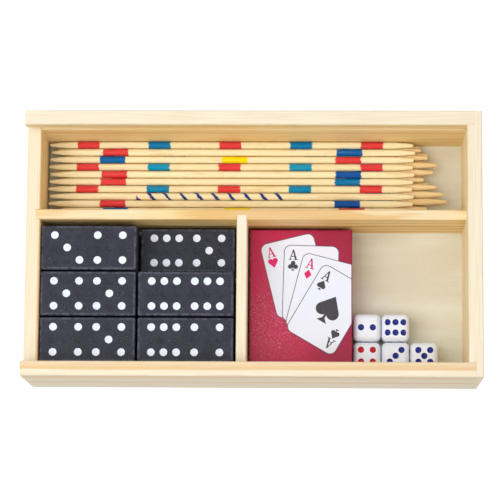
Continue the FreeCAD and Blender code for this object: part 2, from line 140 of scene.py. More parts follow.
# The turn that carries each die face from the top to its side of the die
DIE_TURNS = {
    1: Matrix.Identity(3),
    6: Matrix.Rotation(math.pi, 3, "X"),
    2: Matrix.Rotation(math.pi / 2, 3, "X"),
    5: Matrix.Rotation(-math.pi / 2, 3, "X"),
    3: Matrix.Rotation(math.pi / 2, 3, "Y"),
    4: Matrix.Rotation(-math.pi / 2, 3, "Y"),
}
# The number on top of each die
DICE = {
    "die_back_left": 2,
    "die_back_middle": 6,
    "die_front_left": 4,
    "die_front_middle": 3,
    "die_front_right": 5,
}
# A dimple is cut by a flattened ball: how far its middle stands above the surface, as a
# share of its half height, and how many faces it has round it and down it
DIMPLE_LIFT = 0.25
DIMPLE_ROUND, DIMPLE_DOWN = 20, 8
# How far in from a rounded edge its wear, and on the tiles its painted highlight, ends
EDGE_MARK_MARGIN = 0.5 * MM

# The sticks from the bottom row up and from the divider back, one letter for each kind
STICK_NODES = {
    "S": "pick_up_stick_spiral",
    "F": "pick_up_sticks_five_band",
    "T": "pick_up_sticks_three_band",
    "W": "pick_up_sticks_wide_two_band",
    "L": "pick_up_sticks_light_two_band",
}
STICK_ROWS = (
    "WLWLLTWLWL",
    "LWFLWLWTLW",
    "WLLWTLWLFW",
    "TWSFLWFTWF",
    "L",
)
# How aged each stick is, from the top full row up: its wood browner, its blue paint teal
TOP_ROW = 3
TOP_TONES = (0.3, 0.0, 0.2, 0.7, 0.45, 0.0, 1.0, 0.2, 0.15, 0.5)
# The sticks under that row are browner still, as painted shade under the top row
LOWER_SHADE_TONE = 3.0
# How far each stick has slid along its bay, as a share of the room there
STICK_SLIDE_SHARES = (
    (0.10, 0.22, 0.05, 0.31, 0.16, 0.08, 0.27, 0.12, 0.20, 0.04),
    (0.30, 0.12, 0.40, 0.22, 0.35, 0.18, 0.09, 0.26, 0.33, 0.15),
    (0.20, 0.30, 0.70, 0.64, 0.50, 0.24, 0.43, 0.50, 0.32, 0.18),
    (0.10, 0.01, 0.03, 0.00, 0.02, 0.04, 0.01, 0.03, 0.06, 0.02),
    (0.05,),
)
# Painted bands as shares of the stick: middle, width and paint
TWO_BANDS = ((0.176, 0.071, "red"), (0.820, 0.071, "blue"))
BANDS = {
    "F": (
        (0.107, 0.062, "red"), (0.302, 0.062, "blue"), (0.497, 0.062, "red"),
        (0.692, 0.062, "blue"), (0.887, 0.062, "red"),
    ),
    "T": ((0.172, 0.072, "blue"), (0.508, 0.072, "yellow"), (0.820, 0.072, "red")),
    "W": TWO_BANDS,
    "L": TWO_BANDS,
    "S": (),
}
# Where the spiral runs, as shares of the stick, and how wide and how soft its line is, as
# shares of one turn
SPIRAL_REACH = (0.24, 0.64)
SPIRAL_TURNS = 22.8
SPIRAL_WIDTH = 0.24
SPIRAL_EDGE = 0.03
# How soft and how ragged the ends of the paint are, as shares of the stick
PAINT_EDGE = 0.002
PAINT_RAGGED = 0.012

# The printed fan, back card first: suit, middle of the card and its turn in degrees
FAN = (
    ("heart", (17.69, -9.68), 14.0),
    ("club", (24.16, -13.07), -1.6),
    ("diamond", (28.51, -18.20), -14.6),
    ("spade", (31.63, -24.08), -30.3),
)
RED_SUITS = ("heart", "diamond")
# The inks of the print, in the order of its materials
PAPER, LINE, BLACK_INK, RED_INK = range(4)
# The strokes of an ace's letter, in letter heights round its middle
ACE_STROKES = (
    ((-0.04, 0.5), (0.05, 0.5), (-0.24, -0.46), (-0.33, -0.46)),
    ((-0.07, 0.5), (0.07, 0.5), (0.35, -0.46), (0.17, -0.46)),
    ((-0.2, -0.12), (0.19, -0.12), (0.2, -0.2), (-0.21, -0.2)),
    ((-0.43, -0.43), (-0.15, -0.43), (-0.15, -0.5), (-0.43, -0.5)),
    ((0.06, -0.43), (0.46, -0.43), (0.46, -0.5), (0.06, -0.5)),
)
# The stem of a club or spade, in mark heights round its middle
STEM = (
    ((-0.04, -0.1), (0.04, -0.1), (0.05, -0.42), (-0.05, -0.42)),
    ((-0.03, -0.33), (0.03, -0.33), (0.2, -0.5), (-0.2, -0.5)),
)
# In millimetres: where the case has a painted speckled sheen, how far out the sheen is whole
# and ends, and the thickness of one card of the deck
SHEEN_MIDDLE = (5.0, -31.0, 19.0)
SHEEN_WHOLE, SHEEN_END = 6.0, 25.0
CARD_THICKNESS = 0.25

# The soft lamps: where each stands in metres, and its power in watts
SOFT_BOXES = {
    "left_soft_box": ((-0.58, -0.1, 1.03), 5.6),
    "top_soft_box": ((0.0, -0.22, 1.2), 3.9),
    "front_soft_box": ((0.1, -0.95, 0.7), 0.9),
}
# Half the floor's width in metres, and the camera's film width in millimetres
FLOOR_REACH = 3
FILM_WIDTH = 36


def shade(red, green, blue):
    """A colour given from 0 to 255, as the linear colour that a shader takes."""
    def linear(level):
        level /= 255
        return level / 12.92 if level <= 0.04045 else ((level + 0.055) / 1.055) ** 2.4
    return (linear(red), linear(green), linear(blue), 1.0)


def colour(name, description, default):
    """A colour that a user may change, given from 0 to 255."""
    return FloatVectorProperty(
        name=name, description=description, subtype="COLOR", size=4, min=0, max=1,
        default=shade(*default),
    )


def length(name, description, millimetres):
    """A length that a user may change."""
    return FloatProperty(
        name=name, description=description, subtype="DISTANCE", unit="LENGTH", min=0,
        default=millimetres * MM,
    )


class TrayLook(bpy.types.PropertyGroup):
    """Colours of the tray's boards and floor"""
    # Painted light and shade: the first colour is pale wood where the tray is painted as lit,
    # the second golden wood for its inner faces painted as shaded
    bleached: colour("Bleached wood", "Pale wood that lies open to the light", (243, 234, 212))
    mellow: colour("Mellow wood", "Golden wood of the boards' inner faces", (254, 245, 208))
    latewood: colour("Latewood", "Darker wood of the ring lines", (224, 176, 96))
    blush: colour("Blush", "Warm patches in the pale wood", (248, 216, 144))
    veneer: colour("Veneer", "Pale wood of the plywood floor", (227, 226, 210))
    veneer_fleck: colour("Veneer fleck", "Darker flecks of the plywood floor", (204, 190, 162))


class DominoLook(bpy.types.PropertyGroup):
    """Sizes and colours of the dominoes"""
    ease: length("Eased edge", "Rounding of each tile's edges", 0.7)
    air: length("Air", "Gap between a tile and the one it lies on", 0.02)
    line_width: length("Centre line width", "Width of the line between the halves", 0.5)
    line_depth: length("Centre line depth", "Depth of the line between the halves", 0.04)
    half_offset: length("Half offset", "From the tile's middle to the middle of a half", 9.0)
    pip_pitch: length("Pip pitch", "From one pip to the next", 5.25)
    pip_radius: length("Pip radius", "Radius of a painted pip", 1.65)
    pip_depth: length("Pip depth", "Depth of a painted pip", 0.16)
    blind_depth: length("Blind pip depth", "Depth of a pip that is left unpainted", 0.1)
    lacquer: colour("Lacquer", "Black lacquer of the tiles", (40, 41, 58))
    # Lighter lacquer of the rounded edges: wear, and a painted highlight along them
    lacquer_worn: colour("Worn lacquer", "Rubbed lacquer on the edges", (82, 82, 96))
    pip_paint: colour("Pip paint", "White paint in the pips", (236, 242, 255))


class DiceLook(bpy.types.PropertyGroup):
    """Sizes and colours of the dice"""
    rounding: length("Rounding", "Rounding of each die's edges", 2.3)
    pip_pitch: length("Pip pitch", "From one pip to the next", 2.5)
    pip_radius: length("Pip radius", "Radius of a pip", 1.38)
    pip_depth: length("Pip depth", "Depth of a pip", 0.45)
    plastic: colour("Plastic", "White plastic of the dice", (232, 238, 250))
    blue: colour("Blue pips", "Paint of most faces' pips", (24, 40, 132))
    red: colour("Red pips", "Paint of the one and the four", (192, 16, 28))


class StickLook(bpy.types.PropertyGroup):
    """Sizes and colours of the pick-up sticks"""
    stick_length: length("Length", "Length of a stick", 156)
    radius: length("Radius", "Radius of a stick's shaft", 1.45)
    long_point: length("Long point", "Length of the finer end", 11)
    short_point: length("Short point", "Length of the blunter end", 8)
    fine_tip: length("Fine tip", "Radius at the finer end", 0.6)
    blunt_tip: length("Blunt tip", "Radius at the blunter end", 0.85)
    bamboo: colour("Bamboo", "Pale split bamboo", (255, 242, 200))
    # Darker bamboo of the fibres and knots, also used as painted shade on the lower sticks
    bamboo_fibre: colour("Bamboo fibre", "Darker fibres of the bamboo", (228, 190, 122))
    red: colour("Red paint", "Paint of the red bands", (226, 62, 64))
    blue: colour("Blue paint", "Paint of the blue bands", (0, 84, 168))
    teal: colour("Teal paint", "Paint of the blue bands of aged sticks", (0, 150, 190))
    yellow: colour("Yellow paint", "Paint of the yellow bands", (255, 226, 0))
    ink: colour("Spiral paint", "Paint of the spiral line", (16, 60, 140))


class CardLook(bpy.types.PropertyGroup):
    """Sizes and colours of the card case, its print and the cards"""
    fold: length("Fold", "Rounding of the case's folded edges", 0.35)
    card_width: length("Printed card width", "Width of each card in the print", 23.4)
    card_height: length("Printed card height", "Height of each card in the print", 32.8)
    card_corner: length("Printed corner", "Rounding of each card in the print", 3)
    outline: length("Outline", "Width of the line round each card in the print", 0.3)
    layer: length("Ink layer", "How far each card stands above the one behind it", 0.03)
    # Painted light and shade: the case's red is lighter at the left and deeper towards the right
    # edge
    case: colour("Case", "Varnished red of the case", (190, 20, 74))
    case_deep: colour("Deep case", "Varnished red by the case's right edge", (154, 8, 56))
    # Pale colour of bare board on the rubbed edges, and also of the case's painted sheen and
    # glints
    scuff: colour("Scuff", "Bare board where the case is rubbed", (226, 182, 206))
    paper: colour("Paper", "White of the printed cards", (234, 238, 252))
    black: colour("Black ink", "Ink of the clubs and spades", (58, 56, 64))
    red: colour("Red ink", "Ink of the hearts and diamonds", (218, 12, 100))
    line: colour("Outline ink", "Ink of the lines round the cards", (74, 72, 76))


class StageLook(bpy.types.PropertyGroup):
    """Floor, light and camera"""
    floor: colour("Floor", "Pale floor under the tray", (190, 190, 190))
    floor_glow: FloatProperty(
        name="Floor glow", description="How much whiter than its light the floor looks",
        min=0, default=0.7,
    )
    sky: FloatProperty(
        name="Surround", description="Strength of the even light all round",
        min=0, default=0.51,
    )
    soft_box: FloatProperty(
        name="Soft box size", description="Width of each soft lamp", subtype="DISTANCE",
        unit="LENGTH", min=0, default=0.9,
    )
    lens: FloatProperty(
        name="Lens", description="Focal length of the camera in millimetres",
        min=1, default=172.28,
    )
    stand: FloatVectorProperty(
        name="Camera place", description="Where the camera stands", subtype="TRANSLATION",
        unit="LENGTH", size=3, default=(0.02568, -0.16023, 1.02097),
    )
    aim: FloatVectorProperty(
        name="Camera turn", description="How the camera is turned", subtype="EULER",
        unit="ROTATION", size=3, default=(0.15998, 0.02607, 0.00701),
    )


def feed(tree, socket, value):
    """Links a socket to another one, or sets its value."""
    if isinstance(value, bpy.types.NodeSocket):
        tree.links.new(value, socket)
    else:
        socket.default_value = value


def add(tree, kind, inputs=(), **settings):
    """A shader node with its settings and its inputs, given as name and value."""
    made = tree.nodes.new("ShaderNode" + kind)
    for key, value in settings.items():
        setattr(made, key, value)
    for key, value in dict(inputs).items():
        feed(tree, made.inputs[key], value)
    return made


def calc(tree, operation, *values):
    """The result of a sum on numbers."""
    made = add(tree, "Math", dict(enumerate(values)), operation=operation)
    return made.outputs[0]


def times(tree, *values):
    """The product of two or more numbers."""
    product, *others = values
    for value in others:
        product = calc(tree, "MULTIPLY", product, value)
    return product


def vector_calc(tree, operation, *vectors):
    """The outputs of a sum on vectors."""
    return add(tree, "VectorMath", dict(enumerate(vectors)), operation=operation).outputs


def stretch(tree, vector, across):
    """A vector with each of its directions scaled."""
    return vector_calc(tree, "MULTIPLY", vector, across)["Vector"]


def noise(tree, vector, scale, detail=2.0, roughness=0.5):
    """Even noise over a piece."""
    made = add(tree, "TexNoise", {"Vector": vector, "Scale": scale, "Detail": detail,
                                  "Roughness": roughness})
    return made.outputs["Fac"]


def grain(tree, vector, across, detail=2.0, roughness=0.5):
    """Noise with a scale of its own in each direction."""
    return noise(tree, stretch(tree, vector, across), 1.0, detail, roughness)


def ramp(tree, value, low, high, to_low=0.0, to_high=1.0):
    """A value eased from one range into another."""
    made = add(tree, "MapRange", {"Value": value, "From Min": low, "From Max": high,
                                  "To Min": to_low, "To Max": to_high},
               interpolation_type="SMOOTHSTEP")
    return made.outputs["Result"]


def mix(tree, factor, first, second, blend="MIX"):
    """One colour laid over another by a factor."""
    factor_socket, first_socket, second_socket, result_socket = 0, 6, 7, 2
    made = add(tree, "Mix", data_type="RGBA", blend_type=blend)
    feed(tree, made.inputs[factor_socket], factor)
    feed(tree, made.inputs[first_socket], first)
    feed(tree, made.inputs[second_socket], second)
    return made.outputs[result_socket]


def part_of(tree, vector, axis):
    """One direction of a vector, as a number."""
    return add(tree, "SeparateXYZ", {"Vector": vector}).outputs[axis]


def attribute(tree, name):
    """A number that the piece's mesh carries at each point."""
    return add(tree, "Attribute", attribute_name=name).outputs["Fac"]


def new_group(name, inputs, outputs):
    """An empty node group, with the sockets of its two ends."""
    tree = bpy.data.node_groups.new(name, "ShaderNodeTree")
    for in_out, sockets in (("INPUT", inputs), ("OUTPUT", outputs)):
        for label, kind in sockets:
            tree.interface.new_socket(label, in_out=in_out, socket_type="NodeSocket" + kind)
    given = tree.nodes.new("NodeGroupInput").outputs
    result = tree.nodes.new("NodeGroupOutput").inputs
    return tree, given, result


def wood_rings():
    """Growth rings round a pith line that runs along X, with fibres and broad patches."""
    tree, given, result = new_group(
        "wood_rings",
        (("Place", "Vector"), ("Pith", "Vector"), ("Ring Width", "Float"), ("Wander", "Float")),
        (("Latewood", "Float"), ("Fibre", "Float"), ("Patch", "Float")),
    )
    place = given["Place"]
    drift = calc(tree, "SUBTRACT", grain(tree, place, (0.011, 0.05, 0.05)), 0.5)
    offset = vector_calc(tree, "SUBTRACT", place, given["Pith"])["Vector"]
    across = vector_calc(tree, "LENGTH", stretch(tree, offset, (0, 1, 1)))["Value"]
    radius = calc(tree, "ADD", across, times(tree, drift, given["Wander"]))
    weather = add(tree, "TexNoise", {"W": radius, "Scale": 0.09, "Detail": 1.0},
                  noise_dimensions="1D")
    uneven = calc(tree, "SUBTRACT", weather.outputs["Fac"], 0.5)
    rings = calc(tree, "ADD", calc(tree, "DIVIDE", radius, given["Ring Width"]), uneven)
    share = calc(tree, "FRACT", rings)
    year = add(tree, "TexWhiteNoise", {"W": calc(tree, "FLOOR", rings)}, noise_dimensions="1D")
    strength = ramp(tree, year.outputs["Value"], 0.0, 1.0, 0.45, 1.0)
    darkening = ramp(tree, share, 0.35, 0.90)
    edge = ramp(tree, share, 0.93, 1.0, 1.0, 0.0)
    feed(tree, result["Latewood"], times(tree, darkening, edge, strength))
    feed(tree, result["Fibre"], grain(tree, place, (0.05, 2.6, 2.6), detail=3.0, roughness=0.6))
    feed(tree, result["Patch"], grain(tree, place, (0.018, 0.07, 0.07)))
    return tree


def edge_rub():
    """Where edges are rubbed, and on the tiles painted as lit: the painted edge mask, broken up.
    """
    tree, given, result = new_group(
        "edge_rub",
        (("Place", "Vector"), ("Edge", "Float"), ("Reach", "Float")),
        (("Rub", "Float"),),
    )
    breaks = grain(tree, given["Place"], (0.5, 0.5, 0.5), detail=4.0, roughness=0.65)
    level = calc(tree, "ADD", breaks, calc(tree, "SUBTRACT", given["Reach"], 1.0))
    feed(tree, result["Rub"], times(tree, ramp(tree, level, -0.1, 0.15), given["Edge"]))
    return tree


def dust_and_glint_specks():
    """Small scattered specks, of dust on most pieces and of painted glints on the case."""
    tree, given, result = new_group(
        "dust_and_glint_specks",
        (("Place", "Vector"), ("Spacing", "Float"), ("Size", "Float")),
        (("Specks", "Float"),),
    )
    cells = add(tree, "TexVoronoi", {
        "Vector": given["Place"], "Randomness": 1.0,
        "Scale": calc(tree, "DIVIDE", 1.0, given["Spacing"]),
    })
    near = ramp(tree, cells.outputs["Distance"], 0.0, given["Size"], 1.0, 0.0)
    chosen = ramp(tree, noise(tree, given["Place"], 0.35), 0.5, 0.62)
    feed(tree, result["Specks"], times(tree, near, chosen))
    return tree


def group_node(tree, build, **inputs):
    """The outputs of a shared node group, which is built when it is first used."""
    group = bpy.data.node_groups.get(build.__name__) or build()
    made = add(tree, "Group", node_tree=group)
    for key, value in inputs.items():
        feed(tree, made.inputs[key.replace("_", " ")], value)
    return made.outputs


def rub(tree, place, reach):
    """Where the piece's marked edges are rubbed, and on the tiles painted as lit."""
    mark = attribute(tree, "edge")
    return group_node(tree, edge_rub, Place=place, Edge=mark, Reach=reach)["Rub"]


def specks(tree, place, spacing, size):
    """Specks of this spacing and size, in millimetres: dust, and on the case painted glints."""
    return group_node(tree, dust_and_glint_specks, Place=place, Spacing=spacing, Size=size)["Specks"]


def new_material(name):
    """A material with its shader, and the place on the piece in millimetres."""
    material = bpy.data.materials.new(name)
    material.use_nodes = True
    tree = material.node_tree
    place = add(tree, "TexCoord").outputs["Object"]
    in_millimetres = stretch(tree, place, (1 / MM, 1 / MM, 1 / MM))
    return material, tree, tree.nodes["Principled BSDF"], in_millimetres


def relief(tree, shader, height, depth):
    """Raises a surface by a height from 0 to 1 that stands for so many millimetres."""
    bump = add(tree, "Bump", {"Height": height, "Distance": depth * MM, "Strength": 1.0})
    feed(tree, shader.inputs["Normal"], bump.outputs["Normal"])


def dress(tree, shader, base, texture, roughness, specular, depth):
    """Gives a shader its colour and shine, and its roughness and relief from one texture.

    Roughness is the range of the texture, and the range of roughness that it stands for.
    """
    feed(tree, shader.inputs["Base Color"], base)
    feed(tree, shader.inputs["Roughness"], ramp(tree, texture, *roughness))
    shader.inputs["Specular IOR Level"].default_value = specular
    relief(tree, shader, texture, depth)


def open_to_light(tree, place, top):
    """Where a board is painted as lit: its top edge and the tray's outside."""
    mask = ramp(tree, part_of(tree, place, "Z"), top - LIT_PALE_END, top - LIT_PALE_WHOLE)
    for axis, reach in zip("XY", cad_box[1] / MM):
        away = calc(tree, "ABSOLUTE", part_of(tree, place, axis))
        outside = ramp(tree, away, reach - LIT_PALE_END, reach - LIT_PALE_WHOLE)
        mask = calc(tree, "MAXIMUM", mask, outside)
    return mask


def pine(node, look, board):
    """The pine of one board: rings and fibres, pale where it is painted as lit, golden on its
    inner faces as painted shade.
    """
    material, tree, shader, place = new_material(f"pine_{node}")
    turned = place
    if board.along == "Y":
        turn = add(tree, "Mapping", {"Vector": place, "Rotation": (0, 0, -math.pi / 2)})
        turned = turn.outputs["Vector"]
    wood = group_node(
        tree, wood_rings, Place=turned, Pith=(0, *board.pith), Ring_Width=board.ring_width,
        Wander=board.wander,
    )
    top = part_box(node)[1].z / MM
    # Painted light and shade: pale wood where the board is painted as lit, golden wood and its
    # own warmth on the inner faces
    pale_mask = open_to_light(tree, place, top)
    ground = mix(tree, pale_mask, look.mellow, look.bleached)
    warmer = board.warm_open - board.warm_inside
    warmth = calc(tree, "MULTIPLY_ADD", pale_mask, warmer, board.warm_inside)
    patches = times(tree, ramp(tree, wood["Patch"], 0.38, 0.66, 0.5, 1.0), warmth)
    ground = mix(tree, patches, ground, look.blush)
    ringed = mix(tree, times(tree, wood["Latewood"], board.strength), ground, look.latewood)
    streaks = ramp(tree, wood["Fibre"], 0.35, 0.7, 0.0, 0.22)
    base = mix(tree, streaks, ringed, look.latewood, "MULTIPLY")
    dress(tree, shader, base, wood["Fibre"], (0.2, 0.8, 0.48, 0.66), specular=0.3, depth=0.03)
    return material


def plywood(look):
    """The veneer of the tray's floor, with its fibres and pores."""
    material, tree, shader, place = new_material("plywood_veneer")
    fleck = look.veneer_fleck
    fibres = grain(tree, place, (0.16, 4.0, 4.0), detail=4.0, roughness=0.65)
    clouds = grain(tree, place, (0.02, 0.09, 0.09), detail=3.0)
    pores = grain(tree, place, (0.6, 4.0, 4.0))
    toned = mix(tree, ramp(tree, clouds, 0.35, 0.7, 0.0, 0.45), look.veneer, fleck)
    streaked = mix(tree, ramp(tree, fibres, 0.5, 0.75, 0.0, 0.35), toned, fleck)
    pored = mix(tree, ramp(tree, pores, 0.6, 0.75, 0.0, 0.35), streaked, fleck, "MULTIPLY")
    dress(tree, shader, pored, fibres, (0.2, 0.8, 0.5, 0.7), specular=0.3, depth=0.025)
    return material


def lacquer(name, look, depth):
    """Black lacquer over wood, darker by the depth as painted shade in a recess, lighter on
    rubbed edges as wear and painted highlight.
    """
    material, tree, shader, place = new_material(name)
    worn = look.lacquer_worn
    pores = grain(tree, place, (1.1, 1.3, 1.3), detail=5.0, roughness=0.75)
    clouds = noise(tree, place, 0.16, detail=3.0)
    # The depth darkens the lacquer, as painted shade in a recess
    darker = mix(tree, 0.8 + depth, look.lacquer, BLACK)
    grained = mix(tree, ramp(tree, pores, 0.40, 0.56, 0.0, 1.0 - depth), darker, look.lacquer)
    clouded = mix(tree, ramp(tree, clouds, 0.4, 0.7, 0.0, 0.12), grained, worn)
    # Rubbed edges lighter: wear, and a painted highlight on the rounded edge
    rubbed = mix(tree, rub(tree, place, reach=0.55), clouded, worn)
    dusted = mix(tree, specks(tree, place, spacing=1.4, size=0.15), rubbed, GREY_DUST)
    dress(tree, shader, dusted, pores, (0.2, 0.8, 0.42, 0.66), specular=0.28, depth=0.04)
    return material


def pip_paint(name, tint, least_rough):
    """Paint in a dimple, with small dark flecks where it is rubbed away."""
    material, tree, shader, place = new_material(name)
    flecks = noise(tree, place, 1.9, detail=3.0, roughness=0.6)
    thin = times(tree, ramp(tree, flecks, 0.58, 0.68, 0.0, 0.8), attribute(tree, "rubbed"))
    dull = mix(tree, 0.06, tint, GRIME)
    ground = mix(tree, ramp(tree, flecks, 0.4, 0.7), tint, dull)
    base = mix(tree, thin, ground, BARE_PIP)
    roughness = (0.2, 0.8, least_rough, least_rough + 0.2)
    dress(tree, shader, base, flecks, roughness, specular=0.2, depth=0.02)
    return material


def dice_plastic(look):
    """White plastic with faint clouds and a little dust."""
    material, tree, shader, place = new_material("white_dice_plastic")
    clouds = noise(tree, place, 0.2, detail=3.0)
    scratches = grain(tree, place, (0.3, 4.0, 2.0), detail=3.0, roughness=0.7)
    cool = mix(tree, ramp(tree, clouds, 0.35, 0.7, 0.0, 0.35), look.plastic, COOL_PLASTIC)
    dusted = mix(tree, specks(tree, place, spacing=2.6, size=0.07), cool, BROWN_DUST)
    feed(tree, shader.inputs["Base Color"], dusted)
    feed(tree, shader.inputs["Roughness"], ramp(tree, scratches, 0.3, 0.8, 0.22, 0.4))
    relief(tree, shader, clouds, depth=0.05)
    return material


def bamboo(kind, look):
    """Split bamboo with one kind's painted bands along the stick."""
    material, tree, shader, place = new_material(f"bamboo_{STICK_NODES[kind]}")
    tone = attribute(tree, "tone")
    fibres = grain(tree, place, (0.05, 2.8, 2.8), detail=4.0, roughness=0.65)
    knots = grain(tree, place, (0.06, 0.3, 0.3))
    along = add(tree, "UVMap", uv_map="along_stick").outputs["UV"]
    uneven = calc(tree, "SUBTRACT", noise(tree, place, 1.1, detail=3.0), 0.5)
    ragged = times(tree, uneven, PAINT_RAGGED)
    share = calc(tree, "ADD", part_of(tree, along, "X"), ragged)
    base = mix(tree, ramp(tree, fibres, 0.45, 0.75, 0.0, 0.45), look.bamboo, look.bamboo_fibre)
    base = mix(tree, ramp(tree, knots, 0.58, 0.72, 0.0, 0.35), base, look.bamboo_fibre)
    # The tone browns the wood: a tint of its own on the top row, painted shade on the rows under
    # it
    base = mix(tree, times(tree, tone, 0.2), base, look.bamboo_fibre)
    cover = ramp(tree, fibres, 0.55, 0.75, 1.0, 0.8)
    blue = mix(tree, tone, look.blue, look.teal)
    paints = {"red": look.red, "blue": blue, "yellow": look.yellow}
    for middle, width, paint in BANDS[kind]:
        away = calc(tree, "ABSOLUTE", calc(tree, "SUBTRACT", share, middle))
        half = width / 2
        band = ramp(tree, away, half - PAINT_EDGE, half + PAINT_EDGE / 2, 1.0, 0.0)
        base = mix(tree, times(tree, band, cover), base, paints[paint])
    if kind == "S":
        turns = times(tree, share, SPIRAL_TURNS)
        winding = calc(tree, "FRACT", calc(tree, "SUBTRACT", turns, part_of(tree, along, "Y")))
        line = ramp(tree, winding, SPIRAL_WIDTH - SPIRAL_EDGE, SPIRAL_WIDTH, 1.0, 0.0)
        first, last = SPIRAL_REACH
        begun = ramp(tree, share, first - PAINT_EDGE, first)
        ended = ramp(tree, share, last, last + PAINT_EDGE, 1.0, 0.0)
        worn = ramp(tree, knots, 0.66, 0.72, 1.0, 0.15)
        base = mix(tree, times(tree, line, begun, ended, cover, worn), base, look.ink)
    dress(tree, shader, base, fibres, (0.2, 0.8, 0.5, 0.68), specular=0.15, depth=0.05)
    return material


def varnished_red(look):
    """The red board of the case, lighter at the left and deeper to the right as painted light
    and shade, with a painted speckled sheen, painted glints and rubbed edges.
    """
    material, tree, shader, place = new_material("varnished_red_board")
    speckle = noise(tree, place, 1.7, detail=4.0, roughness=0.7)
    clouds = noise(tree, place, 0.07, detail=3.0)
    # Painted light and shade: a wavering gradient from the lighter left to the deeper right edge
    low, high = (corner.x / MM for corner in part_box("card_case"))
    shifted = calc(tree, "ADD", part_of(tree, place, "X"), (low - high) / 2)
    uneven = calc(tree, "MULTIPLY_ADD", clouds, high - low, shifted)
    base = mix(tree, ramp(tree, uneven, low, high), look.case, look.case_deep)
    # A painted speckled sheen round one spot of the case
    away = vector_calc(tree, "DISTANCE", place, SHEEN_MIDDLE)["Value"]
    sheen_patch = ramp(tree, away, SHEEN_WHOLE, SHEEN_END, 0.75, 0.0)
    # Pale marks: a painted speckled sheen, painted glints, and wear on the rubbed edges
    for pale_mask in (
        times(tree, sheen_patch, ramp(tree, speckle, 0.50, 0.76)),
        times(tree, specks(tree, place, spacing=1.6, size=0.10), 0.3),
        rub(tree, place, reach=0.30),
    ):
        base = mix(tree, pale_mask, base, look.scuff)
    dress(tree, shader, base, speckle, (0.3, 0.7, 0.24, 0.42), specular=0.25, depth=0.06)
    return material


def ink(name, tint):
    """A printed and varnished colour."""
    material, tree, shader, place = new_material(name)
    mottle = noise(tree, place, 1.4, detail=4.0, roughness=0.7)
    pale = mix(tree, 0.05, tint, PALE_INK)
    base = mix(tree, ramp(tree, mottle, 0.4, 0.75), tint, pale)
    dress(tree, shader, base, mottle, (0.3, 0.7, 0.28, 0.44), specular=0.2, depth=0.03)
    return material


def card_edges(look):
    """The edges of a deck of cards, with a line between each card and the next."""
    material, tree, shader, place = new_material("card_edges")
    cards = calc(tree, "DIVIDE", part_of(tree, place, "Z"), CARD_THICKNESS)
    line = ramp(tree, calc(tree, "FRACT", cards), 0.0, 0.3, 0.5, 0.0)
    fuzz = noise(tree, place, 1.2, detail=3.0)
    feed(tree, shader.inputs["Base Color"], mix(tree, line, look.paper, look.line))
    feed(tree, shader.inputs["Roughness"], ramp(tree, fuzz, 0.2, 0.8, 0.5, 0.75))
    return material


def to_mesh(name, bm, materials=()):
    """A bmesh made a mesh with its materials, and freed."""
    mesh = bpy.data.meshes.new(name)
    bm.to_mesh(mesh)
    bm.free()
    for material in materials:
        mesh.materials.append(material)
    return mesh


def new_object(name, data):
    """An object in the scene."""
    made = bpy.data.objects.new(name, data)
    bpy.context.scene.collection.objects.link(made)
    return made


def smooth_piece(name, mesh, sharp=30):
    """A piece with soft shading on all edges but those sharper than so many degrees."""
    mesh.shade_smooth()
    mesh.set_sharp_from_angle(angle=math.radians(sharp))
    piece = new_object(name, mesh)
    flats = piece.modifiers.new("even_flats", "WEIGHTED_NORMAL")
    flats.keep_sharp = True
    return piece


def body_of_node(node):
    """The body that a CAD node belongs to."""
    return frame["nodes"][node]["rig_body"]


def stand_for(piece, nodes):
    """A piece that takes the place of CAD nodes of one body."""
    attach(piece, body_of_node(nodes[0]))
    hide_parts(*nodes)


def paint_node(node, material):
    """Gives a CAD node a finish of its own."""
    mesh = frame["nodes"][node].data
    mesh.materials.clear()
    mesh.materials.append(material)


def carved(blank, cutter):
    """The blank with the cutter's shapes taken out of it, each cut keeping its own paint."""
    block = new_object("blank", blank)
    tool = new_object("cutter", cutter)
    dimples = block.modifiers.new("dimples", "BOOLEAN")
    dimples.object = tool
    dimples.operation = "DIFFERENCE"
    dimples.solver = "EXACT"
    dimples.material_mode = "TRANSFER"
    depsgraph = bpy.context.evaluated_depsgraph_get()
    mesh = bpy.data.meshes.new_from_object(block.evaluated_get(depsgraph), depsgraph=depsgraph)
    for thing in (block, tool):
        bpy.data.objects.remove(thing)
    if "edge" in mesh.attributes:
        wear = mesh.attributes["edge"].data
        for face in mesh.polygons:
            if face.material_index:
                for vert in face.vertices:
                    wear[vert].value = 0.0
    return mesh


def eased_block(size, ease, segments):
    """A block with rounded edges, standing round the origin."""
    bm = bmesh.new()
    bmesh.ops.create_cube(bm, size=1)
    bmesh.ops.scale(bm, vec=size, verts=bm.verts)
    bmesh.ops.bevel(
        bm, geom=bm.edges[:], offset=ease, offset_type="OFFSET", affect="EDGES",
        segments=segments, profile=0.5, material=-1,
    )
    return bm


def mark_edges(bm):
    """Marks a box's rounded edges for wear, and on the tiles for a painted highlight, and keeps
    the mark off its six flats by an inset.
    """
    mark = bm.verts.layers.float.new("edge")
    for vert in bm.verts:
        vert[mark] = 1.0
    flats = sorted(bm.faces, key=lambda face: face.calc_area())[-6:]
    bmesh.ops.inset_individual(bm, faces=flats, thickness=EDGE_MARK_MARGIN, use_even_offset=True)
    for face in flats:
        for vert in face.verts:
            vert[mark] = 0.0


def dimple(bm, spot, turn, radius, depth, paint):
    """A flattened ball that cuts a round dimple of this radius and depth."""
    wide = radius / math.sqrt(1 - DIMPLE_LIFT ** 2)
    tall = depth / (1 - DIMPLE_LIFT)
    matrix = (Matrix.Translation(spot) @ turn.to_4x4()
              @ Matrix.Translation((0, 0, DIMPLE_LIFT * tall))
              @ Matrix.Diagonal((wide, wide, tall, 1)))
    made = bmesh.ops.create_uvsphere(
        bm, u_segments=DIMPLE_ROUND, v_segments=DIMPLE_DOWN, radius=1, matrix=matrix
    )
    for face in {face for vert in made["verts"] for face in vert.link_faces}:
        face.material_index = paint


